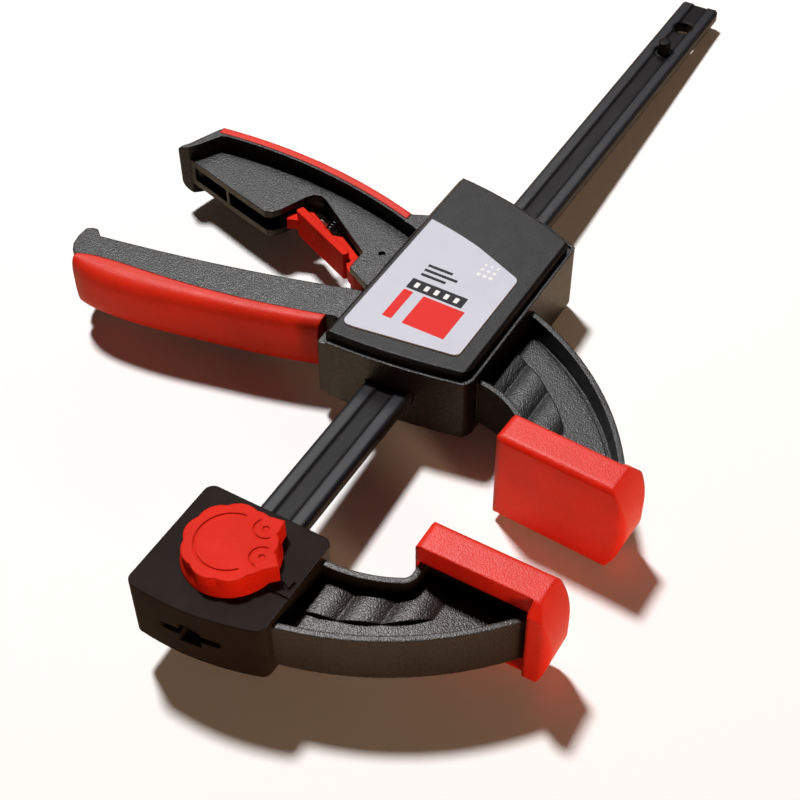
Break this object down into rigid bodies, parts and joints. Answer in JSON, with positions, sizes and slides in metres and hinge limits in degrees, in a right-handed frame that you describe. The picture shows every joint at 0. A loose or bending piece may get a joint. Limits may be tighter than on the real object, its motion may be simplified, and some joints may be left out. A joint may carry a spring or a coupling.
{
  "type": "quick release bar clamp",
  "caption": "One-handed bar clamp: padded jaws on a flat rail, squeeze lever that advances the sliding jaw, release trigger and a locking knob on the removable head.",
  "frame": {"origin": "centre of the fixed jaw pad's clamping face", "axes": "+X along the rail from the fixed jaw to the tail, +Y from the jaws to the handles, +Z square to the clamp's flat side, on the side of the knob"},
  "size_m": [0.3553, 0.2111, 0.0352],
  "materials": {
    "black_steel": "satin black oxide",
    "black_plastic": "fine pebbled moulding",
    "red_plastic": "fine grain",
    "red_grip": "soft touch",
    "bright_steel": "ground",
    "label": null
  },
  "bodies": {
    "fixed_jaw": {"rail": "black_steel", "rail_stop_pin": "black_steel", "fixed_head": "black_plastic", "fixed_jaw_pad": "red_plastic", "locking_pin_spring": "bright_steel"},
    "locking_knob": {"locking_knob": "red_plastic"},
    "locking_pin": {"locking_pin": "bright_steel"},
    "sliding_jaw": {"housing": "black_plastic", "sliding_jaw_pad": "red_plastic", "top_cover": "black_plastic", "bottom_cover": "black_plastic", "label_plate": "label", "handle_strip": "red_grip", "lever_pivot_pin": "bright_steel", "drive_spring": "bright_steel", "trigger_pivot_pin": "bright_steel", "trigger_spring": "bright_steel", "brake_spring": "bright_steel"},
    "squeeze_lever": {"squeeze_lever": "black_plastic", "lever_grip": "red_grip"},
    "drive_plates": {"drive_plate_front": "bright_steel", "drive_plate_rear": "bright_steel"},
    "release_trigger": {"release_trigger": "red_plastic"},
    "brake_plates": {"brake_plate_front": "bright_steel", "brake_plate_rear": "bright_steel"}
  },
  "joints": [
    {"name": "jaw_slide", "type": "slide", "parent": "fixed_jaw", "child": "sliding_jaw", "axis": [1, 0, 0], "range_m": [-0.033, 0.121]},
    {"name": "squeeze_lever_hinge", "type": "hinge", "parent": "sliding_jaw", "child": "squeeze_lever", "pos_m": [0.0725, 0.0509, 0], "axis": [0, 0, 1], "range_deg": [-16, 0], "stiffness_Nm_per_rad": 1.5, "springref_deg": 8.59},
    {"name": "drive_plate_slide", "type": "slide", "parent": "sliding_jaw", "child": "drive_plates", "axis": [1, 0, 0], "range_m": [0, 0.009], "deforming": ["drive_spring"]},
    {"name": "release_trigger_hinge", "type": "hinge", "parent": "sliding_jaw", "child": "release_trigger", "pos_m": [0.0986, 0.0981, 0], "axis": [0, 0, 1], "range_deg": [-8, 0], "stiffness_Nm_per_rad": 0.6, "springref_deg": 8.59, "deforming": ["trigger_spring"]},
    {"name": "brake_plate_hinge", "type": "hinge", "parent": "sliding_jaw", "child": "brake_plates", "pos_m": [0.10585, 0.0759, 0], "axis": [0, 0, 1], "range_deg": [0, 7.2], "deforming": ["brake_spring"]},
    {"name": "locking_knob_hinge", "type": "hinge", "parent": "fixed_jaw", "child": "locking_knob", "pos_m": [-0.035, 0.0659, 0], "axis": [0, 0, 1], "range_deg": [-68, 0]},
    {"name": "locking_pin_slide", "type": "slide", "parent": "fixed_jaw", "child": "locking_pin", "axis": [0, 0, 1], "range_m": [0, 0.005], "deforming": ["locking_pin_spring"]}
  ],
  "couplings": [
    {"joint": "drive_plate_slide", "follows": "squeeze_lever_hinge", "m_per_rad": -0.0302},
    {"joint": "brake_plate_hinge", "follows": "release_trigger_hinge", "ratio": -0.885},
    {"joint": "locking_pin_slide", "follows": "locking_knob_hinge", "m_per_rad": -0.00405}
  ]
}
